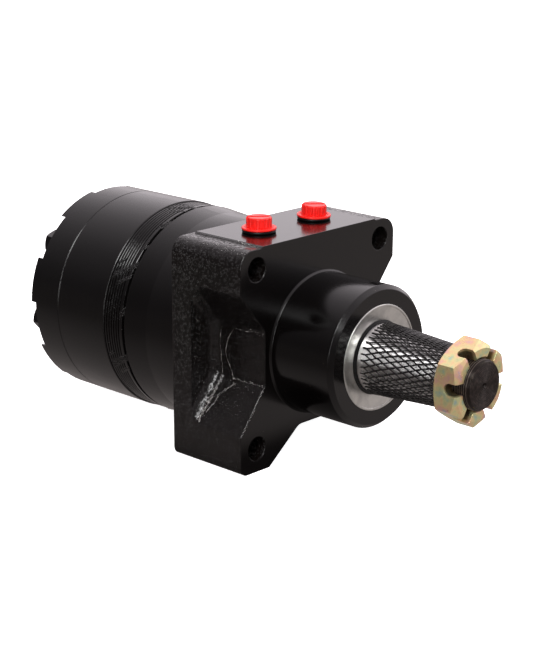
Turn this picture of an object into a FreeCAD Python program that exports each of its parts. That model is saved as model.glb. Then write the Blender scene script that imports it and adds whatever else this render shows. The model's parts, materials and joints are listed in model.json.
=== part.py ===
import FreeCAD, Part
import math
import os
import Sketcher

# A roller-stator hydraulic motor with a tapered, threaded output shaft.
#
# Frame: the origin is on the shaft's axis at the flange's front (mounting) face.
# +X runs along the shaft towards its threaded end, and +Z points up through the port pad.
# Angles about X are measured from +Y towards +Z.  All lengths are in millimetres.

DIMENSIONS = {
    # Nose and flange
    "pilot_radius": 41.275,
    "nose_length": 45.0,
    "nose_chamfer": 2.6,
    "flange_depth": 54.5,
    "flange_half": 65.0,
    "flange_top": 63.6,
    "left_bottom": 66.2,
    "right_bottom": 63.6,
    "pad_top": 64.6,
    "pad_half": 47.2,
    "pad_rear": 52.5,
    "pad_root": 6.0,
    "pad_slope": 1.6,
    "pocket_depth": 39.5,
    "waist_half": 45.5,
    "waist_bottom": 46.5,
    "waist_top": 15.4,
    "waist_low": 16.5,
    "notch_top": 39.4,
    "notch_low": 42.6,
    "bottom_notch": 42.0,
    "bottom_waist": 17.0,
    "top_corner": 9.5,
    "bottom_corner": 5.0,
    "notch_round": 7.0,
    "pocket_round": 7.0,
    "nose_root": 20.0,
    "nose_fillet": 1.0,
    "mount_pitch": 52.2,
    "mount_hole": 7.1,
    # Barrel and the rings behind it
    "barrel_radius": 62.8,
    "barrel_flare": 64.3,
    "barrel_straight": 80.0,
    "barrel_root": 45.0,
    "barrel_rear": 98.9,
    "gap_width": 1.7,
    "gap_radius": 62.4,
    "manifold_radius": 64.2,
    "front_plate": 3.4,
    "thin_plate": 2.1,
    "plate_chamfer": 0.25,
    "plate_step": 0.42,
    "plate_groove": 0.9,
    "chamber_radius": 3.2,
    "chamber_pitch": 44.0,
    "chamber_shift": 1.2,
    "valve_radius": 2.6,
    "valve_pitch": 25.5,
    "ring_radius": 64.8,
    "ring_length": 41.9,
    "cover_length": 26.4,
    "cover_recess": 49.4,
    "recess_depth": 4.1,
    "cover_well": 16.0,
    "well_depth": 9.0,
    "balance_bore": 8.0,
    "seam_chamfer": 0.45,
    "rim_chamfer": 1.1,
    # Body bolts and the seals between the rings
    "bolt_circle": 54.5,
    "bolt_radius": 4.76,
    "bolt_hole": 5.0,
    "bolt_phase": 89.0,
    "bolt_reach": 21.0,
    "head_flats": 14.29,
    "head_height": 8.3,
    "scallop_radius": 17.2,
    "scallop_depth": 5.2,
    "seal_inner": 60.0,
    "seal_width": 1.6,
    "seal_depth": 1.5,
    # Roller gear set
    "roller_pitch": 40.0,
    "roller_radius": 9.0,
    "orbit": 3.4,
    "stator_bore": 38.2,
    "roller_chamfer": 0.6,
    "rotor_port": 2.2,
    "rotor_port_pitch": 27.0,
    "rotor_port_depth": 4.0,
    "running": 0.05,
    # Output shaft
    "shaft_front": 117.9,
    "thread_radius": 14.29,
    "thread_pitch": 1.411,
    "thread_root": 13.42,
    "taper_front": 94.0,
    "taper_rear": 48.0,
    "taper_radius": 19.05,
    "taper_rate": 0.0625,
    "thread_chamfer": 1.2,
    "seal_journal": 19.5,
    "front_journal": 22.5,
    "rear_journal": 27.0,
    "journal_front": 27.0,
    "thrust_radius": 34.0,
    "thrust_front": 4.0,
    "thrust_rear": 10.0,
    "bell_relief": 2.5,
    "bell_neck": 58.0,
    "bell_bore": 17.5,
    "bell_rear": 92.0,
    "bell_well": 12.6,
    "spline_front": 9.5,
    "well_front": 13.1,
    "centre_drill": 1.9,
    # Key and castle nut
    "key_width": 9.5,
    "key_length": 30.0,
    "key_rear": 57.0,
    "key_bottom": 12.9,
    "key_top": 20.6,
    "key_angle": -22.0,
    "nut_flats": 42.86,
    "nut_rear": 99.5,
    "nut_length": 15.6,
    "nut_face": 20.2,
    "nut_slot": 6.8,
    "nut_slot_depth": 8.0,
    "nut_phase": 87.0,
    "sleeve_front": 98.0,
    "sleeve_rear": 47.0,
    "sleeve_wall": 1.9,
    "sleeve_gap": 0.25,
    # Splines of the drive link
    "spline_minor": 14.9,
    "spline_major": 17.3,
    "spline_groove": 4.55,
    "link_root": 14.1,
    "link_tip": 16.7,
    "link_tooth": 3.65,
    "link_shank": 12.0,
    "spline_length": 14.0,
    "link_taper": 4.0,
    "link_nose": 9.0,
    "link_tip_front": 5.0,
    "link_tip_rear": 7.0,
    "link_crown": 2.5,
    "spacer_radius": 12.5,
    "spacer_length": 3.2,
    "pivot": 45.0,
    # Front end: bearings and seals
    "front_race": 29.6,
    "front_seat": 34.0,
    "front_seat_rear": 3.0,
    "rear_seat_front": 60.0,
    "rear_race": 34.1,
    "rear_seat": 41.0,
    "bearing_roller": 3.45,
    "bearing_cage": 1.2,
    "bearing_window": 0.15,
    "window_end": 2.0,
    "roller_gap": 0.2,
    "front_bearing_rear": 3.2,
    "front_bearing_front": 26.8,
    "rear_bearing_rear": 87.0,
    "rear_bearing_front": 61.0,
    "cage_inset": 0.9,
    "washer_thickness": 2.0,
    "washer_bore": 23.0,
    "needle_radius": 1.45,
    "needle_length": 8.0,
    "needle_inner": 24.5,
    "needle_x": -0.5,
    "cavity_radius": 38.0,
    "seal_bore": 28.0,
    "seal_rear": 28.6,
    "seal_lip": 30.2,
    "retainer_radius": 30.6,
    "retainer_depth": 10.0,
    "lip_radius": 21.4,
    "lip_depth": 4.0,
    # Ports and their plugs
    "port_x": -26.3,
    "port_y": 23.2,
    "port_radius": 7.2,
    "port_depth": 16.0,
    "passage_radius": 4.0,
    "passage_z": 50.0,
    "plug_flange": 10.05,
    "plug_knob": 7.35,
    "plug_height": 8.9,
    "plug_lift": 1.7,
    "plug_brim": 1.3,
    "plug_edge": 0.3,
    "plug_stem": 6.3,
    "plug_depth": 10.0,
    "knob_edge": 0.7,
    "rib_gap": 0.85,
    "plug_slot": 2.6,
    "slot_depth": 2.0,
    "plug_turn": -38.0,
    "plug_lean": 2.0,
}

ROLLERS = 7
LOBES = ROLLERS - 1
SPLINE_TEETH = 12
PLUG_RIBS = 16
NUT_SLOTS = 6
PLATES = 7
BEARING_ROLLERS = 15
THRUST_ROLLERS = 20
THREAD_TURNS = 14
LOBE_POINTS = 24


class Size:
    """A number together with the expression that gives it from the sheet's cells."""

    def __init__(self, number, formula):
        self.number = number
        self.formula = formula

    def __add__(self, other):
        other = as_size(other)
        return Size(self.number + other.number, f"({self.formula} + {other.formula})")

    def __sub__(self, other):
        other = as_size(other)
        return Size(self.number - other.number, f"({self.formula} - {other.formula})")

    def __mul__(self, other):
        other = as_size(other)
        return Size(self.number * other.number, f"({self.formula} * {other.formula})")

    def __truediv__(self, other):
        other = as_size(other)
        return Size(self.number / other.number, f"({self.formula} / {other.formula})")

    def __neg__(self):
        return Size(-self.number, f"(0 - {self.formula})")

    __radd__ = __add__
    __rmul__ = __mul__

    def __rsub__(self, other):
        return as_size(other) - self


def as_size(value):
    """Return a plain number as a Size, and a Size as it is."""
    if isinstance(value, Size):
        return value
    return Size(float(value), f"({float(value):.9f})")


def cosine(angle):
    """Cosine of an angle in degrees, as a Size."""
    return Size(math.cos(math.radians(angle.number)), f"cos({angle.formula} * 1 deg)")


def sine(angle):
    """Sine of an angle in degrees, as a Size."""
    return Size(math.sin(math.radians(angle.number)), f"sin({angle.formula} * 1 deg)")


class Sheet:
    """The spreadsheet of driving dimensions; each alias is an attribute that returns a Size."""

    def __init__(self, dimensions):
        sheet = doc.addObject("Spreadsheet::Sheet", "Sizes")
        for row, (alias, number) in enumerate(dimensions.items(), start=1):
            sheet.set(f"A{row}", alias.replace("_", " "))
            sheet.set(f"B{row}", str(number))
            sheet.setAlias(f"B{row}", alias)
            setattr(self, alias, Size(float(number), f"Sizes.{alias}"))


def bind(thing, path, size):
    """Drive one property of an object from the sheet."""
    thing.setExpression(path, as_size(size).formula)


def place(thing, x=0, y=0, z=0):
    """Drive an object's position from the sheet."""
    for letter, size in zip("xyz", (x, y, z)):
        bind(thing, f".Placement.Base.{letter}", size)


class Circle:
    """A circle outline in a sketch's own two axes."""

    def __init__(self, across, up, radius):
        self.centre = (as_size(across), as_size(up))
        self.radius = as_size(radius)

    def draw(self, sketch):
        middle = FreeCAD.Vector(self.centre[0].number, self.centre[1].number, 0)
        circle = Part.Circle(middle, FreeCAD.Vector(0, 0, 1), self.radius.number)
        index = sketch.addGeometry(circle, False)
        hold(sketch, index, 3, self.centre)
        radius = sketch.addConstraint(Sketcher.Constraint("Radius", index, self.radius.number))
        bind(sketch, f"Constraints[{radius}]", self.radius)


class Polygon:
    """A closed outline of straight edges in a sketch's own two axes."""

    def __init__(self, corners):
        self.corners = [(as_size(across), as_size(up)) for across, up in corners]

    def draw(self, sketch):
        points = [FreeCAD.Vector(across.number, up.number, 0) for across, up in self.corners]
        first = sketch.GeometryCount
        count = len(points)
        for index, point in enumerate(points):
            sketch.addGeometry(Part.LineSegment(point, points[(index + 1) % count]), False)
        for index, corner in enumerate(self.corners):
            before = first + (index - 1) % count
            sketch.addConstraint(Sketcher.Constraint("Coincident", before, 2, first + index, 1))
            hold(sketch, first + index, 1, corner)


def hold(sketch, index, point, corner):
    """Fix a point of a sketch by its two distances from the sketch's origin."""
    for kind, size in zip(("DistanceX", "DistanceY"), corner):
        held = sketch.addConstraint(Sketcher.Constraint(kind, -1, 1, index, point, size.number))
        bind(sketch, f"Constraints[{held}]", size)


class Piece:
    """A PartDesign body whose sketches lie across X, across Z or through the axis."""

    def __init__(self, label):
        self.body = doc.addObject("PartDesign::Body", label)
        self.body.Label = label
        self.features = 0

    def origin(self, role):
        return next(item for item in self.body.Origin.OriginFeatures if item.Role == role)

    def sketch(self, role, offset, outlines):
        sketch = self.body.newObject("Sketcher::SketchObject", f"{self.body.Name}_sketch")
        sketch.AttachmentSupport = [(self.origin(role), "")]
        sketch.MapMode = "FlatFace"
        bind(sketch, ".AttachmentOffset.Base.z", offset)
        for outline in outlines:
            outline.draw(sketch)
        return sketch

    def feature(self, kind, sketch):
        self.features += 1
        feature = self.body.newObject(f"PartDesign::{kind}", f"{self.body.Name}_{self.features}")
        feature.Profile = sketch
        return feature

    def finish(self, feature, removes):
        """Recompute, and stop if a cut has removed nothing or an added feature has added nothing."""
        before = feature.BaseFeature.Shape.Volume if feature.BaseFeature else 0.0
        self.body.Tip = feature
        doc.recompute()
        change = feature.Shape.Volume - before
        if (change > -1e-3) if removes else (change < 1e-3):
            raise RuntimeError(f"{self.body.Label}: {feature.Name} changes the volume by {change:.3f}")
        return feature

    def turned(self, profile, axis="X", removes=False):
        """Revolve a closed profile of (along, radius) corners about the X or Z axis."""
        corners = profile if axis == "X" else [(radius, along) for along, radius in profile]
        sketch = self.sketch("XZ_Plane", 0, [Polygon(corners)])
        feature = self.feature("Groove" if removes else "Revolution", sketch)
        feature.ReferenceAxis = (sketch, ["H_Axis" if axis == "X" else "V_Axis"])
        feature.Angle = 360
        return self.finish(feature, removes)

    def bored(self, profile, axis="X"):
        """Revolve a closed profile about the axis and remove it."""
        return self.turned(profile, axis, removes=True)

    def padded(self, rear, length, outlines):
        """Extrude outlines in the YZ plane along +X from the plane x = rear."""
        feature = self.feature("Pad", self.sketch("YZ_Plane", rear, outlines))
        bind(feature, "Length", length)
        return self.finish(feature, False)

    def cut(self, front, depth, outlines, role="YZ_Plane"):
        """Remove outlines from the plane at front, down -X (or down -Z for the XY plane)."""
        feature = self.feature("Pocket", self.sketch(role, front, outlines))
        bind(feature, "Length", depth)
        return self.finish(feature, True)

    def repeat(self, feature, count, axis="X_Axis"):
        """Repeat a feature around an axis of the body."""
        self.features += 1
        pattern = self.body.newObject("PartDesign::PolarPattern", f"{self.body.Name}_{self.features}")
        pattern.Originals = [feature]
        pattern.Axis = (self.origin(axis), [""])
        pattern.Angle = 360
        pattern.Occurrences = count
        self.body.Tip = pattern
        doc.recompute()
        return pattern

    def rounded(self, radius, chosen, kind="Fillet"):
        """Round (or chamfer) the edges of the tip that the chosen test accepts."""
        base = self.body.Tip
        names = [f"Edge{index}" for index, edge in enumerate(base.Shape.Edges, start=1) if chosen(edge)]
        self.features += 1
        feature = self.body.newObject(f"PartDesign::{kind}", f"{self.body.Name}_{self.features}")
        feature.Base = (base, names)
        bind(feature, "Radius" if kind == "Fillet" else "Size", radius)
        self.body.Tip = feature
        doc.recompute()
        if feature.Shape.isNull() or not feature.Shape.isValid():
            raise RuntimeError(f"{self.body.Label}: {feature.Name} can't round {names}")
        return feature


def around(pitch, angle):
    """Return the Y and Z of a point on a circle about the shaft's axis."""
    return pitch * cosine(as_size(angle)), pitch * sine(as_size(angle))


def ring_profile(rear, front, inner, outer, chamfer=0):
    """Return the (x, radius) corners of a ring, with its outer edges chamfered."""
    if not chamfer:
        return [(rear, inner), (front, inner), (front, outer), (rear, outer)]
    return [
        (rear, inner),
        (front, inner),
        (front, outer - chamfer),
        (front - chamfer, outer),
        (rear + chamfer, outer),
        (rear, outer - chamfer),
    ]


def runs_along_x(edge, across, up, reach=1.0):
    """Tell whether an edge is parallel to X and passes near the point (across, up)."""
    if len(edge.Vertexes) != 2:
        return False
    start, end = (vertex.Point for vertex in edge.Vertexes)
    parallel = abs(start.y - end.y) + abs(start.z - end.z) < 1e-4
    return parallel and math.hypot(start.y - across, start.z - up) < reach


def ring_piece(label, rear, front, inner, outer, chamfer=0):
    """Make a plain ring about the shaft's axis."""
    piece = Piece(label)
    piece.turned(ring_profile(rear, front, inner, outer, chamfer))
    return piece


# ---------------------------------------------------------------- housing


def waisted_outline():
    """The flange's section in front of its rear plate, with its three open pockets."""
    right, left = (
        [
            (sizes.flange_half, sizes.flange_top),
            (sizes.flange_half, sizes.notch_top),
            (sizes.waist_half, sizes.waist_top),
            (sizes.waist_half, -sizes.waist_low),
            (sizes.flange_half, -sizes.notch_low),
            (sizes.flange_half, -bottom),
            (sizes.bottom_notch, -bottom),
            (sizes.bottom_waist, -sizes.waist_bottom),
        ]
        for bottom in (sizes.right_bottom, sizes.left_bottom)
    )
    return right + [(-across, up) for across, up in reversed(left)]


def plate_outline():
    """The flange's full section at its rear plate."""
    return [
        (sizes.flange_half, sizes.flange_top),
        (sizes.flange_half, -sizes.right_bottom),
        (sizes.bottom_notch, -sizes.right_bottom),
        (-sizes.bottom_notch, -sizes.left_bottom),
        (-sizes.flange_half, -sizes.left_bottom),
        (-sizes.flange_half, sizes.flange_top),
    ]


def pad_outline():
    """The raised port pad, in the YZ plane, with its two ends sloped down to the flange."""
    foot = sizes.pad_half + sizes.pad_slope
    root = sizes.flange_top - sizes.pad_root
    side = [(foot, root), (foot, sizes.flange_top), (sizes.pad_half, sizes.pad_top)]
    return side + [(-across, up) for across, up in reversed(side)]


def round_flange(piece):
    """Round the casting's corners along the shaft, and the rear corners of its pockets."""
    hollows = [
        (sizes.waist_half, sizes.waist_top),
        (sizes.waist_half, -sizes.waist_low),
        (sizes.bottom_waist, -sizes.waist_bottom),
    ]
    for across, up in hollows:
        round_both_sides(piece, sizes.notch_round, across, up)
    rear = -sizes.pocket_depth.number
    half = sizes.flange_half.number
    upper_limit = sizes.flange_top.number - 0.1
    lower_limit = -sizes.right_bottom.number + 0.1

    def in_pocket(edge):
        middle = edge.CenterOfMass
        flat = abs(edge.BoundBox.XMin - rear) < 1e-3 and abs(edge.BoundBox.XMax - rear) < 1e-3
        return flat and abs(middle.y) < half - 0.1 and lower_limit < middle.z < upper_limit

    piece.rounded(sizes.pocket_round, in_pocket)
    round_both_sides(piece, sizes.top_corner, sizes.flange_half, sizes.flange_top)
    lowest = [(half, -sizes.right_bottom.number), (-half, -sizes.left_bottom.number)]
    piece.rounded(sizes.bottom_corner, lambda edge: any(runs_along_x(edge, *corner) for corner in lowest))


def round_both_sides(piece, radius, across, up):
    """Round the pair of edges along X at one height, one on each side of the shaft."""
    piece.rounded(radius, lambda edge: any(
        runs_along_x(edge, side * across.number, up.number) for side in (-1, 1)))


def shaft_tunnel(piece):
    """Bore the housing for the seals and bearings, from the nose to the manifold."""
    piece.bored([
        (sizes.nose_length + 1, 0),
        (sizes.nose_length + 1, sizes.retainer_radius),
        (sizes.nose_length - sizes.retainer_depth, sizes.retainer_radius),
        (sizes.nose_length - sizes.retainer_depth, sizes.seal_bore),
        (sizes.journal_front, sizes.seal_bore),
        (sizes.journal_front, sizes.front_seat),
        (sizes.front_seat_rear, sizes.front_seat),
        (sizes.front_seat_rear, sizes.cavity_radius),
        (-sizes.rear_seat_front, sizes.cavity_radius),
        (-sizes.rear_seat_front, sizes.rear_seat),
        (-sizes.barrel_rear - 1, sizes.rear_seat),
        (-sizes.barrel_rear - 1, 0),
    ])


def oil_ports(piece):
    """Drill the two ports down from the pad and a passage from each to the manifold."""
    for side in (-1, 1):
        mouth = Circle(sizes.port_x, side * sizes.port_y, sizes.port_radius)
        piece.cut(sizes.pad_top + 1, sizes.port_depth + 1, [mouth], role="XY_Plane")
    passages = [Circle(side * sizes.port_y, sizes.passage_z, sizes.passage_radius) for side in (-1, 1)]
    piece.cut(sizes.port_x, sizes.barrel_rear + sizes.port_x + 1, passages)


def housing():
    """The cast housing: nose, square flange with pockets, port pad and rear barrel."""
    piece = Piece("housing")
    piece.padded(-sizes.flange_depth, sizes.flange_depth - sizes.pocket_depth, [Polygon(plate_outline())])
    piece.padded(-sizes.pocket_depth, sizes.pocket_depth, [Polygon(waisted_outline())])
    round_flange(piece)
    piece.padded(-sizes.pad_rear, sizes.pad_rear, [Polygon(pad_outline())])
    piece.turned([
        (-sizes.nose_root, 0),
        (sizes.nose_length, 0),
        (sizes.nose_length, sizes.pilot_radius - sizes.nose_chamfer * 0.9),
        (sizes.nose_length - sizes.nose_chamfer, sizes.pilot_radius),
        (sizes.nose_fillet, sizes.pilot_radius),
        (0, sizes.pilot_radius + sizes.nose_fillet),
        (-sizes.nose_root, sizes.pilot_radius + sizes.nose_fillet),
    ])
    gap_front = sizes.gap_width - sizes.barrel_rear
    piece.turned([
        (-sizes.barrel_root, 0),
        (-sizes.barrel_root, sizes.barrel_radius),
        (-sizes.barrel_straight, sizes.barrel_radius),
        (gap_front + sizes.seam_chamfer, sizes.barrel_flare),
        (gap_front, sizes.barrel_flare - sizes.seam_chamfer),
        (gap_front, sizes.gap_radius),
        (-sizes.barrel_rear, sizes.gap_radius),
        (-sizes.barrel_rear, 0),
    ])
    shaft_tunnel(piece)
    oil_ports(piece)
    holes = [
        Circle(side * sizes.mount_pitch, top * sizes.mount_pitch, sizes.mount_hole)
        for side in (-1, 1) for top in (-1, 1)
    ]
    piece.cut(1, sizes.flange_depth + 2, holes)
    tapped = Circle(*around(sizes.bolt_circle, sizes.bolt_phase), sizes.bolt_radius)
    piece.repeat(piece.cut(sizes.bolt_reach - sizes.barrel_rear, sizes.bolt_reach + 1, [tapped]), ROLLERS)
    seal_groove(piece, -sizes.barrel_rear, 1)


def seal_groove(piece, face, side):
    """Cut the ring groove for a body seal into a face; side is +1 if metal lies towards +X."""
    mouth = face - side * 1.0
    floor = face + side * sizes.seal_depth
    inner = sizes.seal_inner - 0.1
    outer = sizes.seal_inner + sizes.seal_width + 0.1
    piece.bored([(mouth, inner), (floor, inner), (floor, outer), (mouth, outer)])


# ---------------------------------------------------------------- manifold, gear set and end cover


def bolt_holes(piece, front, depth):
    """Drill the seven body-bolt holes through a ring."""
    hole = Circle(*around(sizes.bolt_circle, sizes.bolt_phase), sizes.bolt_hole)
    piece.repeat(piece.cut(front, depth, [hole]), ROLLERS)


def stepped_profile(rear, front):
    """Return the (x, radius) corners of a plate whose two outer edges are stepped for the braze."""
    floor = sizes.manifold_radius - sizes.plate_groove
    shoulder = sizes.manifold_radius - sizes.plate_chamfer
    rear_wall = rear + sizes.plate_step
    front_wall = front - sizes.plate_step
    return [
        (rear, sizes.bell_bore),
        (front, sizes.bell_bore),
        (front, floor),
        (front_wall, floor),
        (front_wall, shoulder),
        (front_wall - sizes.plate_chamfer, sizes.manifold_radius),
        (rear_wall + sizes.plate_chamfer, sizes.manifold_radius),
        (rear_wall, shoulder),
        (rear_wall, floor),
        (rear, floor),
    ]


def manifold_plate(number):
    """One brazed plate of the manifold, with its own step of the oil windows."""
    thickness = sizes.front_plate if number == 0 else sizes.thin_plate
    front = -sizes.barrel_rear
    if number:
        front = front - sizes.front_plate - (number - 1) * sizes.thin_plate
    rear = front - thickness
    piece = Piece(f"manifold_plate_{number + 1}")
    piece.turned(stepped_profile(rear, front))
    bolt_holes(piece, front + 1, thickness + 2)
    chamber = Circle(*around(sizes.chamber_pitch - number * sizes.chamber_shift, sizes.bolt_phase),
                     sizes.chamber_radius)
    piece.repeat(piece.cut(front + 1, thickness + 2, [chamber]), ROLLERS)
    valve = Circle(*around(sizes.valve_pitch, sizes.bolt_phase + 180 / ROLLERS), sizes.valve_radius)
    piece.repeat(piece.cut(front + 1, thickness + 2, [valve]), ROLLERS)
    if number < 2:
        passages = [
            Circle(side * sizes.port_y, sizes.passage_z, sizes.passage_radius) for side in (-1, 1)
        ]
        piece.cut(front + 1, thickness + 2, passages)


def stator_front():
    """The plane between the manifold's last plate and the stator ring."""
    return -sizes.barrel_rear - sizes.front_plate - (PLATES - 1) * sizes.thin_plate


def stator_ring():
    """The outer ring of the gear set, with a pocket for each roller."""
    front = stator_front()
    rear = front - sizes.ring_length
    piece = ring_piece("stator_ring", rear, front, sizes.stator_bore, sizes.ring_radius,
                       sizes.seam_chamfer)
    pocket = Circle(*around(sizes.roller_pitch, sizes.bolt_phase + 180 / ROLLERS),
                    sizes.roller_radius + sizes.running)
    piece.repeat(piece.cut(front + 1, sizes.ring_length + 2, [pocket]), ROLLERS)
    bolt_holes(piece, front + 1, sizes.ring_length + 2)
    seal_groove(piece, front, -1)
    seal_groove(piece, rear, 1)


def stator_rollers():
    """The rollers, each turning freely in its own pocket."""
    front = stator_front()
    for number in range(ROLLERS):
        piece = ring_piece(f"stator_roller_{number + 1}", front - sizes.ring_length + sizes.running,
                           front - sizes.running, 0, sizes.roller_radius, sizes.roller_chamfer)
        angle = sizes.bolt_phase + 180 / ROLLERS + number * 360 / ROLLERS
        place(piece.body, 0, *around(sizes.roller_pitch, angle))


def rest_angle():
    """The direction of the rotor's offset from the shaft's axis at rest, in degrees."""
    return sizes.bolt_phase.number + 180 / ROLLERS


def rotor_outline():
    """The rotor's closed curve: the inner envelope of the rollers as it orbits."""
    pitch = sizes.roller_pitch.number
    offset = sizes.orbit.number
    reach = sizes.roller_radius.number + sizes.running.number
    points = []
    for step in range(LOBES * LOBE_POINTS):
        turn = 2 * math.pi * step / (LOBES * LOBE_POINTS)
        centre = pitch * complex(math.cos(turn), math.sin(turn))
        centre -= offset * complex(math.cos(ROLLERS * turn), math.sin(ROLLERS * turn))
        heading = pitch * complex(math.cos(turn), math.sin(turn))
        heading -= ROLLERS * offset * complex(math.cos(ROLLERS * turn), math.sin(ROLLERS * turn))
        point = centre - reach * heading / abs(heading)
        points.append(FreeCAD.Vector(0, point.real, point.imag))
    curve = Part.BSplineCurve()
    curve.interpolate(Points=points, PeriodicFlag=True)
    return Part.Wire([curve.toShape()])


def spline_grooves(length):
    """Return the solid that an internal spline removes: the minor bore and its tooth grooves."""
    along_x = FreeCAD.Vector(1, 0, 0)
    origin = FreeCAD.Vector(0, 0, 0)
    half = sizes.spline_groove.number / 2
    solid = Part.makeCylinder(sizes.spline_minor.number, length, origin, along_x)
    for tooth in range(SPLINE_TEETH):
        groove = Part.makeBox(length, sizes.spline_major.number, 2 * half, FreeCAD.Vector(0, 0, -half))
        groove.rotate(origin, along_x, tooth * 360 / SPLINE_TEETH)
        solid = solid.fuse(groove)
    return solid


def rotor():
    """The orbiting rotor, with an internal spline and a valve port in each lobe."""
    length = sizes.ring_length.number - 2 * sizes.running.number
    along_x = FreeCAD.Vector(1, 0, 0)
    origin = FreeCAD.Vector(0, 0, 0)
    turn = rest_angle()
    solid = Part.Face(rotor_outline()).extrude(FreeCAD.Vector(length, 0, 0))
    solid.rotate(origin, along_x, turn)
    for lobe in range(LOBES):
        mouth = FreeCAD.Vector(length - sizes.rotor_port_depth.number, 0, sizes.rotor_port_pitch.number)
        port = Part.makeCylinder(sizes.rotor_port.number, length, mouth, along_x)
        port.rotate(origin, along_x, turn - 90 + (lobe + 0.5) * 360 / LOBES)
        solid = solid.cut(port)
    solid = solid.cut(spline_grooves(length))
    thing = doc.addObject("Part::Feature", "rotor")
    thing.Label = "rotor"
    thing.Shape = solid.removeSplitter()
    rear = stator_front() - sizes.ring_length + sizes.running
    angle = as_size(turn)
    place(thing, rear, sizes.orbit * cosine(angle), sizes.orbit * sine(angle))


def drive_link():
    """The splined link that carries the orbiting rotor's turning to the shaft."""
    middle = (stator_front() - sizes.ring_length / 2).number
    span = -sizes.pivot.number - middle
    half = sizes.spline_length / 2
    rear = as_size(-span)
    piece = Piece("drive_link")
    piece.turned([
        (half + sizes.link_crown, 0),
        (half + sizes.link_crown, sizes.link_tip_front),
        (half, sizes.link_nose),
        (half, sizes.link_root),
        (-half, sizes.link_root),
        (-half - sizes.link_taper, sizes.link_shank),
        (rear + half + sizes.link_taper, sizes.link_shank),
        (rear + half, sizes.link_root),
        (rear - half, sizes.link_root),
        (rear - half, sizes.link_nose),
        (rear - half - sizes.link_taper, sizes.link_tip_rear),
        (rear - half - sizes.link_taper, 0),
    ])
    width = sizes.link_tooth / 2
    for end in (-half, rear - half):
        tooth = Polygon([
            (sizes.link_root - 2, -width),
            (sizes.link_tip, -width),
            (sizes.link_tip, width),
            (sizes.link_root - 2, width),
        ])
        piece.repeat(piece.padded(end, sizes.spline_length, [tooth]), SPLINE_TEETH)
    angle = math.radians(rest_angle())
    orbit = sizes.orbit.number
    lean = FreeCAD.Vector(-span, orbit * math.cos(angle), orbit * math.sin(angle))
    piece.body.Placement = FreeCAD.Placement(
        FreeCAD.Vector(-sizes.pivot.number, 0, 0), FreeCAD.Rotation(FreeCAD.Vector(-1, 0, 0), lean))


def end_cover():
    """The rear cover, with a scalloped recess around each bolt head."""
    front = stator_front() - sizes.ring_length
    rear = front - sizes.cover_length
    piece = Piece("end_cover")
    piece.turned([
        (rear, 0),
        (front, 0),
        (front, sizes.ring_radius - sizes.seam_chamfer),
        (front - sizes.seam_chamfer, sizes.ring_radius),
        (rear + sizes.rim_chamfer, sizes.ring_radius),
        (rear, sizes.ring_radius - sizes.rim_chamfer),
    ])
    piece.bored([
        (front + 1, 0),
        (front + 1, sizes.cover_recess),
        (front - sizes.recess_depth, sizes.cover_recess),
        (front - sizes.recess_depth, sizes.cover_well),
        (front - sizes.well_depth, sizes.cover_well),
        (front - sizes.well_depth, 0),
    ])
    bolt_holes(piece, front + 1, sizes.cover_length + 2)
    scallop = Circle(*around(sizes.bolt_circle, sizes.bolt_phase), sizes.scallop_radius)
    piece.repeat(piece.cut(rear + sizes.scallop_depth, sizes.scallop_depth + 1, [scallop]), ROLLERS)


def balance_plate():
    """The wear plate that seals the rear of the gear set, let into the end cover."""
    front = stator_front() - sizes.ring_length
    rear = front - sizes.recess_depth + sizes.running
    ring_piece("balance_plate", rear, front, sizes.balance_bore, sizes.cover_recess - 0.1)


def body_seals():
    """The square-section seals of the three joints between the body's rings."""
    front = stator_front()
    rear = front - sizes.ring_length
    width = sizes.seal_depth - 0.05
    outer = sizes.seal_inner + sizes.seal_width
    ring_piece("body_seal_front", -sizes.barrel_rear, width - sizes.barrel_rear, sizes.seal_inner, outer)
    ring_piece("body_seal_middle", front - width, front, sizes.seal_inner, outer)
    ring_piece("body_seal_rear", rear, rear + width, sizes.seal_inner, outer)


def body_bolts():
    """The seven hex bolts that clamp the rings to the housing, as one group of solids."""
    along_x = FreeCAD.Vector(1, 0, 0)
    origin = FreeCAD.Vector(0, 0, 0)
    seat = (stator_front() - sizes.ring_length - sizes.cover_length + sizes.scallop_depth).number
    tip = sizes.bolt_reach.number - sizes.barrel_rear.number - 3
    radius = sizes.head_flats.number / math.sqrt(3)
    height = sizes.head_height.number
    corners = [
        FreeCAD.Vector(seat - height, radius * math.cos(turn), radius * math.sin(turn))
        for turn in (math.radians(60 * step) for step in range(7))
    ]
    head = Part.Face(Part.makePolygon(corners)).extrude(FreeCAD.Vector(height, 0, 0))
    crown = Part.makeCone(radius - 1.1, radius + height * 1.7 - 1.1, height,
                          FreeCAD.Vector(seat - height, 0, 0), along_x)
    shank = Part.makeCylinder(sizes.bolt_radius.number - 0.02, tip - seat + 1,
                              FreeCAD.Vector(seat - 1, 0, 0), along_x)
    bolt = head.common(crown).fuse(shank)
    bolt.translate(FreeCAD.Vector(0, sizes.bolt_circle.number, 0))
    bolts = []
    for number in range(ROLLERS):
        turned = bolt.copy()
        turned.rotate(origin, along_x, sizes.bolt_phase.number + number * 360 / ROLLERS)
        bolts.append(turned)
    group("body_bolts", bolts)


def group(label, solids):
    """Keep several separate solids as one node."""
    thing = doc.addObject("Part::Feature", label)
    thing.Label = label
    thing.Shape = Part.makeCompound(solids)


# ---------------------------------------------------------------- output shaft and what it carries


def taper_radius(along):
    """The shaft's radius on its taper at a distance x from the flange."""
    return sizes.taper_radius - (along - sizes.taper_rear) * sizes.taper_rate


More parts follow.
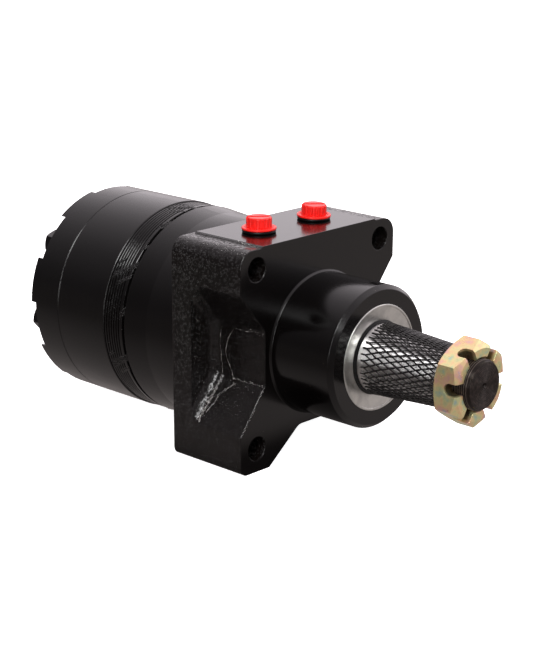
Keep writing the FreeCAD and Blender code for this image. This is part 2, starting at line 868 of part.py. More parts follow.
def thread_corners():
    """The (x, radius) corners of the thread's ridges, from its front end to its undercut."""
    front = sizes.shaft_front - sizes.thread_chamfer
    corners = []
    for ridge in range(THREAD_TURNS):
        along = front - ridge * sizes.thread_pitch
        corners.append((along - sizes.thread_pitch * 0.44, sizes.thread_radius))
        corners.append((along - sizes.thread_pitch * 0.56, sizes.thread_radius))
        corners.append((along - sizes.thread_pitch, sizes.thread_root))
    return corners


def output_shaft():
    """The shaft: thread, taper, journals, thrust flange and splined bell, with its keyway."""
    piece = Piece("output_shaft_turned")
    piece.turned([
        (sizes.shaft_front - 2.5, 0),
        (sizes.shaft_front, sizes.centre_drill),
        (sizes.shaft_front, sizes.thread_root - 0.2),
        (sizes.shaft_front - sizes.thread_chamfer, sizes.thread_root),
        *thread_corners(),
        (sizes.taper_front, sizes.thread_root),
        (sizes.taper_front, taper_radius(sizes.taper_front)),
        (sizes.taper_rear, sizes.taper_radius),
        (sizes.taper_rear, sizes.seal_journal),
        (sizes.journal_front, sizes.seal_journal),
        (sizes.journal_front, sizes.front_journal),
        (-sizes.thrust_front, sizes.front_journal),
        (-sizes.thrust_front, sizes.thrust_radius),
        (-sizes.thrust_rear, sizes.thrust_radius),
        (-sizes.thrust_rear, sizes.rear_journal - sizes.bell_relief),
        (-sizes.bell_neck, sizes.rear_journal - sizes.bell_relief),
        (-sizes.rear_seat_front, sizes.rear_journal),
        (-sizes.bell_rear, sizes.rear_journal),
        (-sizes.bell_rear, sizes.bell_bore),
        (-sizes.pivot - 8, sizes.bell_bore),
        (-sizes.pivot - 8, sizes.spline_minor),
        (-sizes.pivot + sizes.spline_front, sizes.spline_minor),
        (-sizes.pivot + sizes.spline_front, sizes.bell_well),
        (-sizes.pivot + sizes.well_front, sizes.bell_well),
        (-sizes.pivot + sizes.well_front, 0),
    ])
    half = sizes.spline_groove / 2
    groove = Polygon([
        (sizes.spline_minor - 3, -half),
        (sizes.spline_major, -half),
        (sizes.spline_major, half),
        (sizes.spline_minor - 3, half),
    ])
    piece.repeat(piece.cut(-sizes.pivot + 9, 18, [groove]), SPLINE_TEETH)
    keyway = key_box("keyway", 0.02)
    shaft = doc.addObject("Part::Cut", "output_shaft")
    shaft.Label = "output_shaft"
    shaft.Base = piece.body
    shaft.Tool = keyway


def key_box(name, slack, grow=0):
    """A box where the key lies; slack widens it and grow thickens it on every outer side."""
    box = doc.addObject("Part::Box", name)
    extra = as_size(slack + grow)
    bind(box, "Length", sizes.key_length + 2 * extra)
    bind(box, "Width", sizes.key_width + 2 * extra)
    bind(box, "Height", sizes.key_top - sizes.key_bottom + extra)
    turn = math.radians(sizes.key_angle.number - 90)
    half = (sizes.key_width / 2 + extra).number
    bottom = sizes.key_bottom.number
    corner_y = half * -math.cos(turn) - bottom * math.sin(turn)
    corner_z = half * -math.sin(turn) + bottom * math.cos(turn)
    box.Placement = FreeCAD.Placement(
        FreeCAD.Vector((sizes.key_rear - extra).number, corner_y, corner_z),
        FreeCAD.Rotation(FreeCAD.Vector(1, 0, 0), sizes.key_angle.number - 90))
    return box


def net_sleeve():
    """The protective sleeve over the taper, with a lump where it passes over the key."""
    bodies = []
    for name, lift in (("inside", sizes.sleeve_gap), ("outside", sizes.sleeve_gap + sizes.sleeve_wall)):
        overrun = 1 if name == "inside" else 0
        cone = doc.addObject("Part::Cone", f"sleeve_cone_{name}")
        bind(cone, "Radius1", taper_radius(sizes.sleeve_rear - overrun) + lift + 0.3)
        bind(cone, "Radius2", taper_radius(sizes.sleeve_front + overrun) + lift)
        bind(cone, "Height", sizes.sleeve_front - sizes.sleeve_rear + 2 * overrun)
        cone.Placement = FreeCAD.Placement(
            FreeCAD.Vector((sizes.sleeve_rear - overrun).number, 0, 0),
            FreeCAD.Rotation(FreeCAD.Vector(0, 0, 1), FreeCAD.Vector(1, 0, 0)))
        lump = key_box(f"sleeve_lump_{name}", 0.15, 0 if name == "inside" else 1.6)
        fused = doc.addObject("Part::Fuse", f"sleeve_{name}")
        fused.Base = cone
        fused.Tool = lump
        bodies.append(fused)
    sleeve = doc.addObject("Part::Cut", "net_sleeve")
    sleeve.Label = "net_sleeve"
    sleeve.Base = bodies[1]
    sleeve.Tool = bodies[0]


def castle_nut():
    """The slotted hex nut on the shaft's thread, bevelled at both ends."""
    corner = sizes.nut_flats / math.sqrt(3)
    front = sizes.nut_rear + sizes.nut_length
    piece = Piece("castle_nut")
    hexagon = Polygon([around(corner, 60 * step) for step in range(6)])
    piece.padded(sizes.nut_rear, sizes.nut_length, [hexagon])
    outside = corner + 0.6
    bevel = (outside - sizes.nut_face) * math.tan(math.radians(30))
    for face, inward in ((sizes.nut_rear, 1), (front, -1)):
        piece.bored([
            (face, sizes.nut_face),
            (face + inward * bevel, outside),
            (face - inward * 2, outside),
            (face - inward * 2, sizes.nut_face),
        ])
    bore = sizes.thread_radius + 0.02
    piece.bored([
        (sizes.nut_rear - 1, 0),
        (sizes.nut_rear - 1, bore),
        (front - 1.2, bore),
        (front, bore + 1.2),
        (front + 1, bore + 1.2),
        (front + 1, 0),
    ])
    half = sizes.nut_slot / 2
    floor = front - sizes.nut_slot_depth + half
    start = corner + 2
    depth = start - sizes.thread_root + 2
    straight = Polygon([(floor, -half), (front + 1, -half), (front + 1, half), (floor, half)])
    piece.repeat(piece.cut(start, depth, [straight], role="XY_Plane"), NUT_SLOTS)
    piece.repeat(piece.cut(start, depth, [Circle(floor, 0, half)], role="XY_Plane"), NUT_SLOTS)
    piece.body.Placement.Rotation = FreeCAD.Rotation(FreeCAD.Vector(1, 0, 0), sizes.nut_phase.number)


# ---------------------------------------------------------------- bearings and seals


def bearing_rollers(label, pitch, rear, front):
    """A ring of bearing rollers as one group of solids, just shorter than the cage's windows."""
    along_x = FreeCAD.Vector(1, 0, 0)
    inset = (sizes.cage_inset + sizes.window_end + sizes.roller_gap).number
    rear = rear.number + inset
    front = front.number - inset
    rollers = []
    for number in range(BEARING_ROLLERS):
        turn = 2 * math.pi * number / BEARING_ROLLERS
        foot = FreeCAD.Vector(rear, pitch.number * math.cos(turn), pitch.number * math.sin(turn))
        rollers.append(Part.makeCylinder(sizes.bearing_roller.number, front - rear, foot, along_x))
    group(label, rollers)


def bearing_cage(label, pitch, rear, front):
    """A bearing's cage: a thin ring with a window around each roller."""
    rear = rear + sizes.cage_inset
    front = front - sizes.cage_inset
    piece = ring_piece(label, rear, front, pitch - sizes.bearing_cage, pitch + sizes.bearing_cage)
    window = Circle(pitch, 0, sizes.bearing_roller + sizes.bearing_window)
    length = front - rear - 2 * sizes.window_end
    piece.repeat(piece.cut(front - sizes.window_end, length, [window]), BEARING_ROLLERS)


def journal_bearings():
    """The two roller bearings of the shaft."""
    bearings = [
        ("front", sizes.front_journal, sizes.front_race, sizes.front_seat,
         sizes.front_bearing_rear, sizes.front_bearing_front),
        ("rear", sizes.rear_journal, sizes.rear_race, sizes.rear_seat,
         -sizes.rear_bearing_rear, -sizes.rear_bearing_front),
    ]
    for name, journal, race, seat, rear, front in bearings:
        middle = (journal + race) / 2
        ring_piece(f"{name}_bearing_race", rear, front, race, seat - 0.02)
        bearing_cage(f"{name}_bearing_cage", middle, rear, front)
        bearing_rollers(f"{name}_bearing_rollers", middle, rear, front)


def thrust_bearing():
    """The needle thrust bearing between the shaft's flange and the housing."""
    thickness = sizes.washer_thickness
    seat = sizes.front_seat_rear
    ring_piece("thrust_washer_front", seat - thickness, seat, sizes.washer_bore, sizes.front_seat + 1)
    ring_piece("thrust_washer_rear", -sizes.thrust_front, thickness - sizes.thrust_front,
               sizes.front_journal + 0.02, sizes.thrust_radius)
    along_x = FreeCAD.Vector(1, 0, 0)
    origin = FreeCAD.Vector(0, 0, 0)
    middle = sizes.needle_x.number
    inner = sizes.needle_inner.number
    radius = sizes.needle_radius.number
    length = sizes.needle_length.number
    foot = FreeCAD.Vector(middle - 0.8, 0, 0)
    needle = Part.makeCylinder(radius, length, FreeCAD.Vector(middle, inner, 0), FreeCAD.Vector(0, 1, 0))
    ring = Part.makeCylinder(sizes.thrust_radius.number, 1.6, foot, along_x)
    ring = ring.cut(Part.makeCylinder(sizes.washer_bore.number + 0.2, 1.6, foot, along_x))
    corner = FreeCAD.Vector(middle - 2, inner - 0.2, -radius - 0.1)
    window = Part.makeBox(4, length + 0.4, 2 * radius + 0.2, corner)
    needles = []
    for number in range(THRUST_ROLLERS):
        turn = number * 360 / THRUST_ROLLERS
        turned = needle.copy()
        turned.rotate(origin, along_x, turn)
        needles.append(turned)
        hole = window.copy()
        hole.rotate(origin, along_x, turn)
        ring = ring.cut(hole)
    group("thrust_needles", needles)
    group("thrust_cage", ring.Solids)


def front_seals():
    """The shaft seal, its backup washer, the dust lip and the ring that retains them."""
    lip = sizes.seal_journal + sizes.running
    face = sizes.nose_length
    outer = sizes.seal_bore - 0.05
    ring_piece("backup_washer", sizes.journal_front + 0.05, sizes.seal_rear - 0.1, lip, outer)
    front = face - sizes.retainer_depth - 0.1
    piece = Piece("shaft_seal")
    piece.turned([
        (sizes.seal_rear, lip),
        (sizes.seal_lip, lip),
        (sizes.seal_lip + 1.3, lip + 2),
        (front, lip + 2),
        (front, outer),
        (sizes.seal_rear, outer),
    ])
    piece = Piece("dust_seal")
    piece.turned([
        (face - sizes.lip_depth, lip + 0.6),
        (face - 0.6, lip),
        (face + 0.3, lip + 0.3),
        (face - 0.5, sizes.lip_radius),
        (face - sizes.lip_depth, sizes.lip_radius),
    ])
    piece = Piece("seal_retainer")
    outer = sizes.retainer_radius - 0.02
    rear = face - sizes.retainer_depth + 0.1
    piece.turned([
        (rear, lip + 3.5),
        (face - sizes.lip_depth - 0.1, lip + 3.5),
        (face - sizes.lip_depth - 0.1, sizes.lip_radius + 0.02),
        (face - 0.9, sizes.lip_radius + 0.02),
        (face - 0.1, outer - 1.3),
        (face + 0.5, outer - 1.1),
        (face + 0.5, outer - 0.3),
        (face + 0.2, outer),
        (rear, outer),
    ])


# ---------------------------------------------------------------- port plugs


def port_plug(name, side, lean):
    """A ribbed, slotted push-in plug, which may lean to one side, and the O-ring under its flange."""
    piece = Piece(f"port_plug_{name}")
    top = sizes.plug_height
    under = sizes.plug_lift
    over = under + sizes.plug_brim
    rim = sizes.plug_flange - sizes.plug_edge
    piece.turned([
        (-sizes.plug_depth, 0),
        (-sizes.plug_depth, sizes.plug_stem - 0.8),
        (1 - sizes.plug_depth, sizes.plug_stem),
        (under, sizes.plug_stem),
        (under, rim),
        (under + sizes.plug_edge, sizes.plug_flange),
        (over - sizes.plug_edge, sizes.plug_flange),
        (over, rim),
        (over, sizes.plug_knob),
        (top - sizes.knob_edge, sizes.plug_knob),
        (top, sizes.plug_knob - sizes.knob_edge),
        (top, 0),
    ], axis="Z")
    rib_gap = Circle(sizes.plug_knob + 0.35, 0, sizes.rib_gap)
    grooves = piece.cut(top + 1, top - over + 1.3, [rib_gap], role="XY_Plane")
    piece.repeat(grooves, PLUG_RIBS, axis="Z_Axis")
    half = sizes.plug_slot / 2
    reach = sizes.plug_knob + 1
    slot = Polygon([(-half, -reach), (half, -reach), (half, reach), (-half, reach)])
    piece.cut(top + 1, 1 + sizes.slot_depth, [slot], role="XY_Plane")
    upright = FreeCAD.Rotation(FreeCAD.Vector(0, 0, 1), sizes.plug_turn.number)
    leaning = FreeCAD.Rotation(FreeCAD.Vector(0, 1, 0), lean.number)
    piece.body.Placement.Rotation = leaning.multiply(upright)
    place(piece.body, sizes.port_x, side * sizes.port_y, sizes.pad_top)
    ring = doc.addObject("Part::Torus", f"plug_oring_{name}")
    ring.Label = f"plug_oring_{name}"
    bind(ring, "Radius1", sizes.plug_flange - sizes.plug_lift / 2 - 0.3)
    bind(ring, "Radius2", sizes.plug_lift / 2 - 0.01)
    place(ring, sizes.port_x, side * sizes.port_y, sizes.pad_top + sizes.plug_lift / 2)


def shaft_key():
    """The parallel key in the taper."""
    box = key_box("shaft_key", 0)
    box.Label = "shaft_key"


def link_spacer():
    """The loose disc between the drive link and the bottom of the shaft's bore."""
    front = sizes.well_front - 0.1 - sizes.pivot
    ring_piece("link_spacer", front - sizes.spacer_length, front, 0, sizes.spacer_radius)


NODES = [
    "housing",
    "front_bearing_race",
    "front_bearing_cage",
    "front_bearing_rollers",
    "rear_bearing_race",
    "rear_bearing_cage",
    "rear_bearing_rollers",
    "thrust_washer_front",
    "thrust_washer_rear",
    "thrust_needles",
    "thrust_cage",
    "backup_washer",
    "shaft_seal",
    "dust_seal",
    "seal_retainer",
    "output_shaft",
    "shaft_key",
    "net_sleeve",
    "castle_nut",
    "link_spacer",
    "drive_link",
    "rotor",
    "stator_ring",
    *[f"stator_roller_{number + 1}" for number in range(ROLLERS)],
    *[f"manifold_plate_{number + 1}" for number in range(PLATES)],
    "balance_plate",
    "end_cover",
    "body_seal_front",
    "body_seal_middle",
    "body_seal_rear",
    "body_bolts",
    "port_plug_a",
    "plug_oring_a",
    "port_plug_b",
    "plug_oring_b",
]


def export(nodes):
    """Check every object of the document, then write each sub-part to its own file."""
    doc.recompute()
    for thing in doc.Objects:
        if "Invalid" in thing.State or "Error" in thing.State:
            raise RuntimeError(f"{thing.Label} is {thing.State}")
    labels = {thing.Label: thing for thing in doc.Objects}
    os.makedirs("parts", exist_ok=True)
    for node in nodes:
        shape = labels[node].Shape
        if shape.isNull() or not shape.isValid() or not shape.Solids:
            raise RuntimeError(f"{node} has no valid solid")
        shape.exportStep(f"parts/{node}.step")
        print(f"{node}: {len(shape.Solids)} solid(s), {shape.Volume / 1000:.2f} cm3")


doc = FreeCAD.newDocument("HydraulicMotor")
sizes = Sheet(DIMENSIONS)
doc.recompute()
housing()
for plate in range(PLATES):
    manifold_plate(plate)
stator_ring()
stator_rollers()
rotor()
end_cover()
balance_plate()
body_seals()
body_bolts()
output_shaft()
shaft_key()
net_sleeve()
castle_nut()
link_spacer()
drive_link()
journal_bearings()
thrust_bearing()
front_seals()
port_plug("a", -1, as_size(0))
port_plug("b", 1, sizes.plug_lean)
export(NODES)
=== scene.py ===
"""Looks of a hydraulic motor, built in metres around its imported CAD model.

The shaft lies along X, its axis is z = 0 and the flange's mounting face is x = 0.
Angles about the shaft run from +Y towards +Z.
"""
import json
import math
import random

import bpy
from mathutils import Matrix, Vector, noise


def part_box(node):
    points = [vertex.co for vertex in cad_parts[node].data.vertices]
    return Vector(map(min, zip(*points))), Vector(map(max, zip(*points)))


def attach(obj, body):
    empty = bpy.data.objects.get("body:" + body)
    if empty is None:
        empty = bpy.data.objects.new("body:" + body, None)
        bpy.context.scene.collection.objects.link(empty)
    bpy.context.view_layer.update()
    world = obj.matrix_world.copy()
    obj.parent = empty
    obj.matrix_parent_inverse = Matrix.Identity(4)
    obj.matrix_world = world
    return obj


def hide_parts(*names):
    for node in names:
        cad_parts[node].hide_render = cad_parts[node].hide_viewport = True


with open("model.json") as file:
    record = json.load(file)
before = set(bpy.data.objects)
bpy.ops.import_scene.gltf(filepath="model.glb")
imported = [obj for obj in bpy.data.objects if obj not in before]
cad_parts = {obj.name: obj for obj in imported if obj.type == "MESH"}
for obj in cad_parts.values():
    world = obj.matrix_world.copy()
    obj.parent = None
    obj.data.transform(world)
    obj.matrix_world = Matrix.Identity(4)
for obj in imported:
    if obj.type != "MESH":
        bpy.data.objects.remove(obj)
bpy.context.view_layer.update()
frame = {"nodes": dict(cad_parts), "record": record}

random.seed(11)


# ---------------------------------------------------------------- node graphs


class Surface:
    """A Principled material whose graph is written as short calls that return output sockets."""

    def __init__(self, name, metallic=0.0, roughness=0.5, color=(0.5, 0.5, 0.5)):
        self.material = bpy.data.materials.new(name)
        self.material.use_nodes = True
        self.nodes = self.material.node_tree.nodes
        self.links = self.material.node_tree.links
        self.shader = self.nodes["Principled BSDF"]
        self.set("Metallic", metallic)
        self.set("Roughness", roughness)
        self.set("Base Color", color)
        self.place = self.nodes.new("ShaderNodeTexCoord").outputs["Object"]
        self.normal = None

    def set(self, name, value):
        """Give one of the shader's sockets a number, a colour or a node's output."""
        self.feed(self.shader.inputs[name], value)

    def feed(self, socket, value):
        """Give any node's socket a number, a colour or another node's output."""
        if isinstance(value, bpy.types.NodeSocket):
            self.links.new(value, socket)
        elif isinstance(value, (tuple, list)) and len(value) == 3 and socket.type == "RGBA":
            socket.default_value = (*value, 1.0)
        else:
            socket.default_value = value

    def node(self, kind, settings=None, **inputs):
        """Add a shader node; an underscore in an input's name stands for a space."""
        made = self.nodes.new(f"ShaderNode{kind}")
        for name, value in (settings or {}).items():
            setattr(made, name, value)
        for name, value in inputs.items():
            self.feed(made.inputs[name.replace("_", " ")], value)
        return made

    def math(self, operation, first, second=0.0):
        """One Math node's result."""
        made = self.node("Math", {"operation": operation})
        self.feed(made.inputs[0], first)
        self.feed(made.inputs[1], second)
        return made.outputs[0]

    def axis(self, letter):
        """One coordinate of a point, in metres."""
        return self.node("SeparateXYZ", Vector=self.place).outputs[letter]

    def reach(self):
        """A point's distance from the shaft's axis, in metres."""
        across, up = self.axis("Y"), self.axis("Z")
        return self.math("SQRT", self.math("ADD", self.math("MULTIPLY", across, across),
                                           self.math("MULTIPLY", up, up)))

    def ramp(self, value, low, high, start=0.0, end=1.0):
        """Map low..high smoothly onto start..end."""
        made = self.node("MapRange", {"interpolation_type": "SMOOTHSTEP"}, Value=value)
        for socket, number in zip(("From Min", "From Max", "To Min", "To Max"), (low, high, start, end)):
            self.feed(made.inputs[socket], number)
        return made.outputs["Result"]

    def grain(self, size, detail=3.0, stretch=(1, 1, 1), roughness=0.55):
        """Noise from 0 to 1 whose features are about size metres across, drawn out along an axis."""
        scaled = self.node("Mapping", Vector=self.place, Scale=Vector(1 / s for s in stretch))
        made = self.node("TexNoise", Vector=scaled.outputs[0], Scale=1 / size, Detail=detail,
                         Roughness=roughness)
        return made.outputs["Fac"]

    def specks(self, spacing, radius):
        """A mask of round specks of one radius, strewn about one per spacing."""
        cells = self.node("TexVoronoi", Vector=self.place, Scale=1 / spacing)
        return self.ramp(cells.outputs["Distance"], radius / spacing, 0.6 * radius / spacing)

    def mix(self, share, first, second):
        """A blend of two colours: the first where share is 0, the second where it is 1."""
        made = self.node("Mix", {"data_type": "RGBA"})
        self.feed(made.inputs[0], share)
        self.feed(made.inputs[6], first)
        self.feed(made.inputs[7], second)
        return made.outputs[2]

    def soften(self, radius):
        """Shade sharp edges as if they were rounded by this radius."""
        self.normal = self.node("Bevel", {"samples": 6}, Radius=radius).outputs[0]

    def bump(self, height, depth):
        """Raise the surface by a height from 0 to 1, of this depth in metres."""
        made = self.node("Bump", Height=height, Distance=depth)
        if self.normal:
            self.feed(made.inputs["Normal"], self.normal)
        self.normal = made.outputs[0]

    def done(self):
        """Connect the bumps and return the material."""
        if self.normal:
            self.set("Normal", self.normal)
        return self.material


# ---------------------------------------------------------------- materials

PAINT = (0.0018, 0.0013, 0.0013)
CAST_PAINT = (0.0036, 0.0025, 0.0022)


def housing_paint():
    """Black paint on the casting: glossy where it was machined, grainy where it was cast."""
    look = Surface("black_paint_casting", color=PAINT)
    along = look.axis("X")
    up = look.axis("Z")
    barrel_start, flange_front, port_face = -0.0542, -0.0002, 0.0644
    barrel = look.ramp(along, barrel_start, barrel_start - 0.0014)
    nose = look.ramp(along, flange_front - 0.0004, flange_front)
    pad = look.ramp(up, port_face - 0.0003, port_face)
    machined = look.math("MAXIMUM", nose, pad)
    smooth = look.math("MAXIMUM", machined, barrel)
    cast = look.math("SUBTRACT", 1.0, smooth)
    pits = look.ramp(look.grain(0.0014, 3.0, roughness=0.65), 0.53, 0.70)
    broad = look.grain(0.006, 2.0)
    rough = look.math("ADD", look.math("MULTIPLY", cast, 0.02), look.math("MULTIPLY", barrel, 0.07))
    look.set("Roughness", look.math("ADD", rough, 0.17))
    look.soften(0.0005)
    look.bump(look.math("MULTIPLY", cast, pits), 0.0005)
    look.bump(look.math("MULTIPLY", cast, broad), 0.0006)
    peel = look.grain(0.004, 2.0)
    look.bump(look.math("MULTIPLY", smooth, peel), 0.000012)
    ground = look.mix(cast, PAINT, CAST_PAINT)
    mottled = look.math("MULTIPLY", cast, look.ramp(look.grain(0.0007, 3.0), 0.56, 0.72, 0.0, 0.05))
    rubbed = look.math("MULTIPLY", machined, look.specks(0.011, 0.0003))
    marks = look.math("MAXIMUM", mottled, look.math("MULTIPLY", rubbed, 0.25))
    look.set("Base Color", look.mix(marks, ground, (0.24, 0.18, 0.15)))
    return look.done()


def ring_paint():
    """Satin black paint on the turned rings, with a faint orange peel."""
    look = Surface("black_paint_rings", color=PAINT)
    look.set("Roughness", look.ramp(look.grain(0.012, 3.0, stretch=(3, 1, 1)), 0.3, 0.7, 0.21, 0.27))
    look.soften(0.00025)
    look.bump(look.grain(0.003, 2.0), 0.000014)
    dust = look.specks(0.009, 0.0003)
    look.set("Base Color", look.mix(dust, PAINT, (0.05, 0.045, 0.045)))
    return look.done()


def plate_paint():
    """Thicker, uneven paint over the edges of the manifold's plates."""
    look = Surface("black_paint_plates", color=PAINT)
    look.set("Roughness", look.ramp(look.grain(0.004), 0.3, 0.7, 0.13, 0.22))
    look.bump(look.grain(0.0030, 3.0), 0.00003)
    look.set("Base Color", look.mix(look.specks(0.005, 0.00025), PAINT, (0.08, 0.075, 0.07)))
    return look.done()


def braze():
    """Rough lumps of braze under the paint, with small wet glints: partly from its bumps, partly pale
    specks painted in as glints.
    """
    look = Surface("black_paint_braze", color=PAINT)
    look.set("Roughness", look.ramp(look.grain(0.0008), 0.3, 0.7, 0.16, 0.30))
    look.bump(look.grain(0.0012, 4.0, roughness=0.7), 0.0009)
    # Painted highlights: pale specks in the colour stand in for small glints on the lumps.
    look.set("Base Color", look.mix(look.specks(0.0016, 0.00018), PAINT, (0.16, 0.14, 0.13)))
    return look.done()


def steel(name, color, roughness):
    """Steel with fine tool marks along the shaft."""
    look = Surface(name, metallic=1.0, color=color)
    marks = look.grain(0.0004, 2.0, stretch=(1, 0.02, 0.02))
    look.set("Roughness", look.ramp(marks, 0.3, 0.7, roughness * 0.85, roughness * 1.2))
    look.set("Base Color", look.mix(look.grain(0.01), color, tuple(0.82 * c for c in color)))
    look.bump(marks, 0.000004)
    return look.done()


def shaft_steel():
    """The output shaft: bright ground taper, and a dark phosphated thread and end face."""
    look = Surface("ground_steel", metallic=1.0)
    along = look.axis("X")
    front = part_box("output_shaft")[1].x
    around_shaft = look.node("Tangent", {"direction_type": "RADIAL", "axis": "X"})
    look.set("Tangent", around_shaft.outputs[0])
    look.set("Anisotropic", 0.97)
    look.set("Anisotropic Rotation", 0.25)
    radius = look.reach()
    nut_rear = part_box("castle_nut")[0].x
    crest_radius = 0.01425
    phosphated = look.ramp(along, nut_rear - 0.003, nut_rear - 0.001)
    face = look.ramp(along, front - 0.0003, front - 0.0001)
    crest = look.ramp(radius, crest_radius - 0.0004, crest_radius)
    worn = look.math("MULTIPLY", look.math("MULTIPLY", crest, look.math("SUBTRACT", 1.0, face)), 0.8)
    rings_per_metre = 260
    outward = look.node("CombineXYZ", X=look.math("MULTIPLY", radius, rings_per_metre))
    rings = look.node("TexWave", {"bands_direction": "X"}, Vector=outward.outputs[0], Scale=1.0)
    dark = look.mix(worn, (0.018, 0.013, 0.011), (0.13, 0.105, 0.09))
    dark = look.mix(look.math("MULTIPLY", face, look.ramp(look.grain(0.0015, 4.0), 0.4, 0.75)),
                    dark, (0.055, 0.040, 0.035))
    bright = look.mix(look.ramp(look.grain(0.008), 0.35, 0.7), (0.86, 0.85, 0.84), (0.74, 0.73, 0.72))
    look.set("Base Color", look.mix(phosphated, bright, dark))
    look.set("Roughness", look.ramp(phosphated, 0.0, 1.0, 0.36, 0.42))
    look.set("Metallic", look.ramp(phosphated, 0.0, 1.0, 1.0, 0.55))
    look.soften(0.00018)
    look.bump(look.math("MULTIPLY", face, rings.outputs["Fac"]), 0.00005)
    look.bump(look.grain(0.0006, 2.0, stretch=(1, 0.03, 0.03)), 0.000006)
    return look.done()


def zinc():
    """Bright zinc-plated steel, clouded and faintly streaked."""
    look = Surface("zinc_ring", metallic=1.0)
    cloud = look.ramp(look.grain(0.007, 4.0), 0.3, 0.7)
    look.set("Base Color", look.mix(cloud, (0.63, 0.63, 0.60), (0.50, 0.50, 0.48)))
    look.set("Roughness", look.ramp(cloud, 0.0, 1.0, 0.30, 0.40))
    look.soften(0.0002)
    look.bump(look.grain(0.0005, 2.0, stretch=(1, 1, 0.2)), 0.000012)
    return look.done()


def yellow_zinc():
    """Yellow chromated zinc: pale gold with drifting pink, green and blue, and painted shade that darkens
    the slots.
    """
    look = Surface("yellow_zinc", metallic=0.8)
    hue = look.node("ValToRGB", Fac=look.grain(0.0065, 3.0, roughness=0.5))
    stops = hue.color_ramp.elements
    colors = [(0.30, (0.42, 0.56, 0.50)), (0.40, (0.62, 0.64, 0.36)), (0.48, (0.78, 0.66, 0.36)),
              (0.56, (0.80, 0.58, 0.33)), (0.64, (0.78, 0.48, 0.40)), (0.72, (0.52, 0.52, 0.52))]
    while len(stops) < len(colors):
        stops.new(0.5)
    for stop, (position, color) in zip(stops, colors):
        stop.position = position
        stop.color = (*color, 1.0)
    stains = look.ramp(look.grain(0.0013, 3.0), 0.55, 0.75)
    plated = look.mix(look.math("MULTIPLY", stains, 0.25), hue.outputs["Color"], (0.45, 0.36, 0.18))
    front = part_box("castle_nut")[1].x
    # Painted shade: inside the slots the colour is darkened to brown, standing in for the shade in these
    # recesses.
    slot_radius = 0.0207
    behind = look.ramp(look.axis("X"), front - 0.0008, front - 0.0030)
    painted_slot_shade = look.math("MULTIPLY", behind, look.ramp(look.reach(), slot_radius, slot_radius - 0.0012))
    look.set("Base Color", look.mix(look.math("MULTIPLY", painted_slot_shade, 0.85), plated, (0.10, 0.065, 0.03)))
    look.set("Roughness", look.ramp(look.grain(0.004), 0.3, 0.7, 0.27, 0.38))
    look.soften(0.0003)
    look.bump(look.grain(0.0011, 3.0), 0.00003)
    return look.done()


def red_plastic():
    """Bright red polyethylene, slightly translucent."""
    look = Surface("red_plastic", roughness=0.36)
    look.set("Base Color", look.mix(look.grain(0.003), (0.83, 0.018, 0.012), (0.74, 0.013, 0.009)))
    look.set("Subsurface Weight", 0.25)
    look.set("Subsurface Radius", (0.004, 0.0006, 0.0004))
    look.set("Subsurface Scale", 0.5)
    look.soften(0.0003)
    look.bump(look.grain(0.0012, 2.0), 0.00002)
    return look.done()


def rubber():
    """Black rubber with a dull bloom."""
    look = Surface("seal_rubber", color=(0.003, 0.003, 0.003))
    look.set("Specular IOR Level", 0.3)
    look.set("Roughness", look.ramp(look.grain(0.002), 0.3, 0.7, 0.38, 0.5))
    look.bump(look.grain(0.0008, 3.0), 0.00003)
    return look.done()


def net_plastic():
    """Black polyethylene of the net, with a soft sheen."""
    look = Surface("black_net", color=(0.006, 0.005, 0.005))
    look.set("Roughness", look.ramp(look.grain(0.002), 0.3, 0.7, 0.28, 0.4))
    look.bump(look.grain(0.0009, 2.0), 0.00004)
    return look.done()


def bronze():
    """Sintered bronze with fine pores."""
    look = Surface("bronze_plate", metallic=1.0, roughness=0.4)
    look.set("Base Color", look.mix(look.grain(0.002, 4.0), (0.62, 0.42, 0.20), (0.46, 0.30, 0.15)))
    look.bump(look.specks(0.0012, 0.0002), 0.00003)
    return look.done()


def scuffs_and_painted_highlights():
    """Pale grey where the paint is scuffed off the casting's ridges, and pale grey painted highlights for
    the glints of the rough cast.
    """
    look = Surface("scuffed_paint_and_highlights")
    worn = look.ramp(look.grain(0.0007, 3.0), 0.36, 0.56)
    # Partly painted highlights: the pale grey stands for paint scuffed off the ridges and also for glints
    # on the rough cast.
    look.set("Base Color", look.mix(worn, (0.03, 0.028, 0.027), (0.72, 0.69, 0.67)))
    look.set("Roughness", look.ramp(worn, 0.0, 1.0, 0.25, 0.5))
    look.bump(look.grain(0.0005, 2.0), 0.0001)
    return look.done()


LOOKS = {
    "black_paint": ring_paint(),
    "hard_steel": steel("hard_steel", (0.62, 0.60, 0.58), 0.2),
    "cage_steel": steel("cage_steel", (0.50, 0.49, 0.48), 0.34),
    "ground_steel": shaft_steel(),
    "zinc_ring": zinc(),
    "seal_rubber": rubber(),
    "bronze_plate": bronze(),
    "yellow_zinc": yellow_zinc(),
    "black_net": net_plastic(),
    "red_plastic": red_plastic(),
}
CAST = housing_paint()
PLATES = plate_paint()
BRAZE = braze()
SCUFFS_AND_HIGHLIGHTS = scuffs_and_painted_highlights()


def dress(thing, material):
    """Give every slot of an object one material."""
    thing.data.materials.clear()
    thing.data.materials.append(material)


def dress_frame():
    """Give each CAD node the look of its material slot in the record."""
    for part in frame["record"]["subparts"]:
        dress(frame["nodes"][part["node"]], LOOKS[part["material_slot"]])
    dress(frame["nodes"]["housing"], CAST)
    for node, thing in frame["nodes"].items():
        if node.startswith("manifold_plate"):
            dress(thing, PLATES)


# ---------------------------------------------------------------- meshes


def polar(along, radius, angle):
    """A point at a distance along the shaft, a radius from it and an angle about it in degrees."""
    turn = math.radians(angle)
    return Vector((along, radius * math.cos(turn), radius * math.sin(turn)))


def piece(name, points, faces, material, body):
    """Make a smooth mesh object that rides on a body."""
    mesh = bpy.data.meshes.new(name)
    mesh.from_pydata([tuple(point) for point in points], [], faces)
    mesh.validate()
    mesh.update()
    mesh.shade_smooth()
    made = bpy.data.objects.new(name, mesh)
    bpy.context.scene.collection.objects.link(made)
    dress(made, material)
    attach(made, body)
    return made


